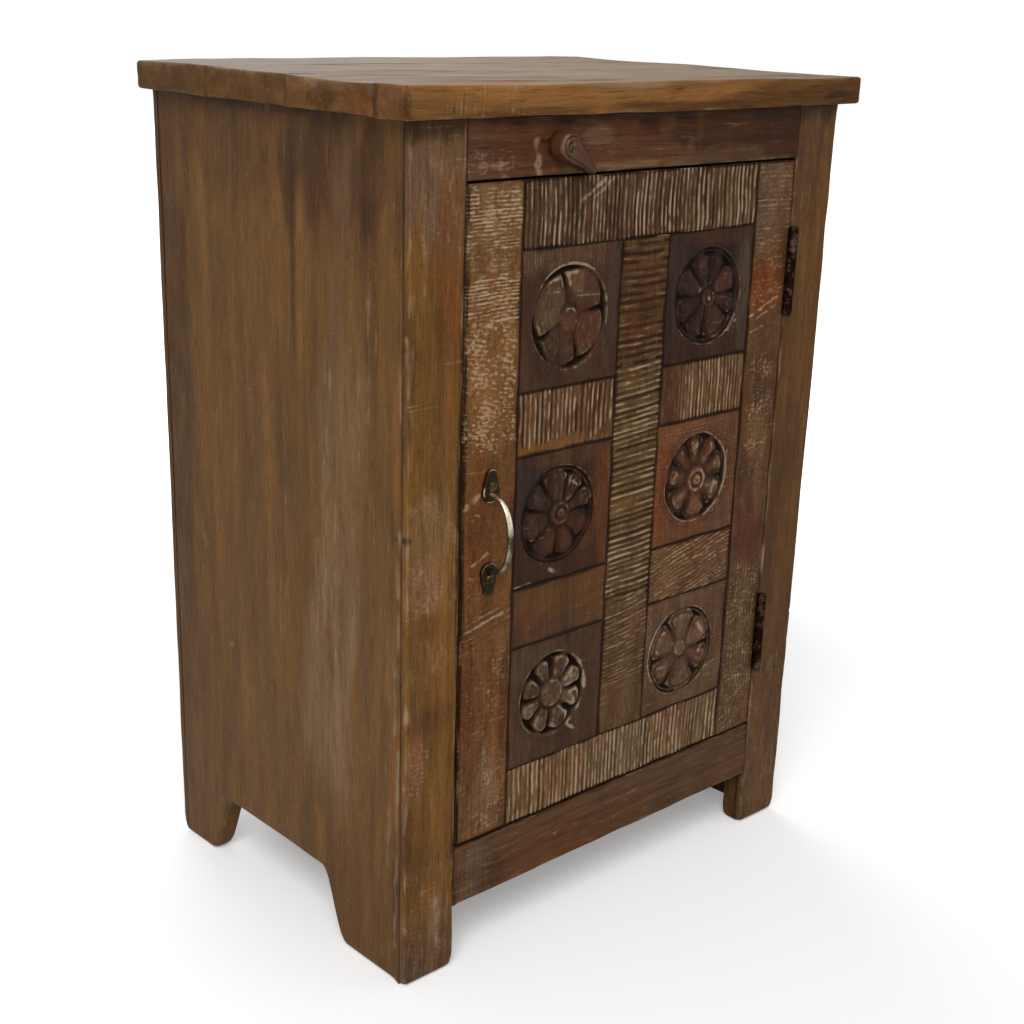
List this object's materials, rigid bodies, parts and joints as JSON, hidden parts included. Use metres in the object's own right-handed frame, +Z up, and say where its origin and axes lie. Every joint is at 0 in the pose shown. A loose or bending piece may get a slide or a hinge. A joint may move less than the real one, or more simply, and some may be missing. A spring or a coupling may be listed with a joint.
{
  "type": "nightstand",
  "caption": "Tall narrow wooden bedside cabinet: one inset patchwork door of carved flower tiles on butt hinges, bow pull, turn button latch, shelf inside, arched side feet.",
  "frame": {"origin": "on the floor, under the middle of the bounding box", "axes": "+X to the viewer's right along the front, +Y from the front to the back, +Z up"},
  "size_m": [0.424, 0.3082, 0.6],
  "materials": {
    "stained_wood": "brown stain with pale wax left in the saw marks, satin",
    "carved_wood": "dark brown stain, carved, rubbed pale on the high edges",
    "plywood": "thin brown stain, matte",
    "brass": "tarnished, rubbed bright on the bow",
    "iron": "dark, slightly worn",
    "steel": "dull zinc"
  },
  "bodies": {
    "cabinet": {"back_nails": "steel", "back_panel": "plywood", "cabinet_floor": "stained_wood", "cleat_screws": "steel", "door_stop": "stained_wood", "door_stop_screws": "steel", "floor_cleat_left": "stained_wood", "floor_cleat_right": "stained_wood", "front_post_left": "stained_wood", "front_post_right": "stained_wood", "front_rail_bottom": "stained_wood", "front_rail_top": "stained_wood", "hinge_frame_screws": "steel", "hinge_lower_frame_leaf": "iron", "hinge_lower_pin": "iron", "hinge_upper_frame_leaf": "iron", "hinge_upper_pin": "iron", "rear_rail_bottom": "stained_wood", "rear_rail_top": "stained_wood", "shelf": "stained_wood", "shelf_cleat_left": "stained_wood", "shelf_cleat_right": "stained_wood", "side_panel_left": "stained_wood", "side_panel_right": "stained_wood", "top_cleat_left": "stained_wood", "top_cleat_right": "stained_wood", "top_edge_strip": "stained_wood", "top_plank_front": "stained_wood", "top_plank_middle": "stained_wood", "top_plank_rear": "stained_wood", "top_screws": "steel", "turn_button_screw": "steel", "turn_button_washer": "steel"},
    "door": {"bow_pull": "brass", "door_backing": "plywood", "door_mullion": "stained_wood", "door_rail_bottom": "stained_wood", "door_rail_top": "stained_wood", "door_stile_left": "stained_wood", "door_stile_right": "stained_wood", "hinge_door_screws": "steel", "hinge_lower_door_leaf": "iron", "hinge_upper_door_leaf": "iron", "pull_screws": "brass", "spacer_left_lower": "stained_wood", "spacer_left_upper": "stained_wood", "spacer_right_lower": "stained_wood", "spacer_right_upper": "stained_wood", "tile_left_lower": "carved_wood", "tile_left_middle": "carved_wood", "tile_left_upper": "carved_wood", "tile_right_lower": "carved_wood", "tile_right_middle": "carved_wood", "tile_right_upper": "carved_wood"},
    "turn_button": {"turn_button": "stained_wood"}
  },
  "joints": [
    {"name": "door_swing", "type": "hinge", "parent": "cabinet", "child": "door", "pos_m": [0.15625, -0.13387, 0.3185], "axis": [0, 0, 1], "range_deg": [0, 170]},
    {"name": "turn_button_turn", "type": "hinge", "parent": "cabinet", "child": "turn_button", "pos_m": [-0.0835, -0.13187, 0.56175], "axis": [0, -1, 0], "range_deg": [-176, 60]}
  ]
}
